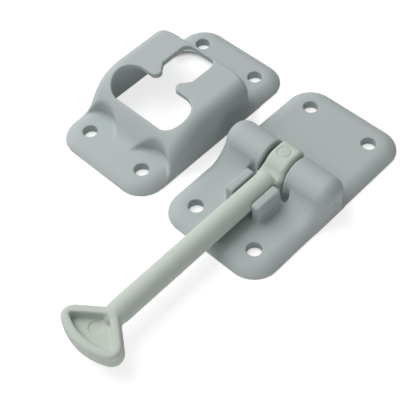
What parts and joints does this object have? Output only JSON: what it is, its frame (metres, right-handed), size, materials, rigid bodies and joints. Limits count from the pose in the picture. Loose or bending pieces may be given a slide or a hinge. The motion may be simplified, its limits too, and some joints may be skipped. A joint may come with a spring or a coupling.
{
  "type": "door holder catch",
  "caption": "Plastic door holder: a screwed plate with a swinging T-headed arm clipped between fins, and a hollow keeper with a keyhole mouth that grips the head.",
  "frame": {"origin": "centre of the holder's four screw holes, on the flat backs of both plates", "axes": "+Z out of the mounting surface, +Y from the arm's head towards the hinge, +X across the holder with the keeper on its -X side"},
  "size_m": [0.0944, 0.1284, 0.0166],
  "materials": {
    "body_plastic": "blue-grey satin moulded plastic",
    "arm_plastic": "pale greenish-grey satin nylon",
    "pin_steel": "drawn wire"
  },
  "bodies": {
    "holder": {"holder_base": "body_plastic", "hinge_pin": "pin_steel", "keeper": "body_plastic"},
    "arm": {"swing_arm": "arm_plastic"}
  },
  "joints": [
    {"name": "arm_swing", "type": "hinge", "parent": "holder", "child": "arm", "pos_m": [0, -0.0003, 0.008], "axis": [-1, 0, 0], "range_deg": [0, 180]}
  ]
}
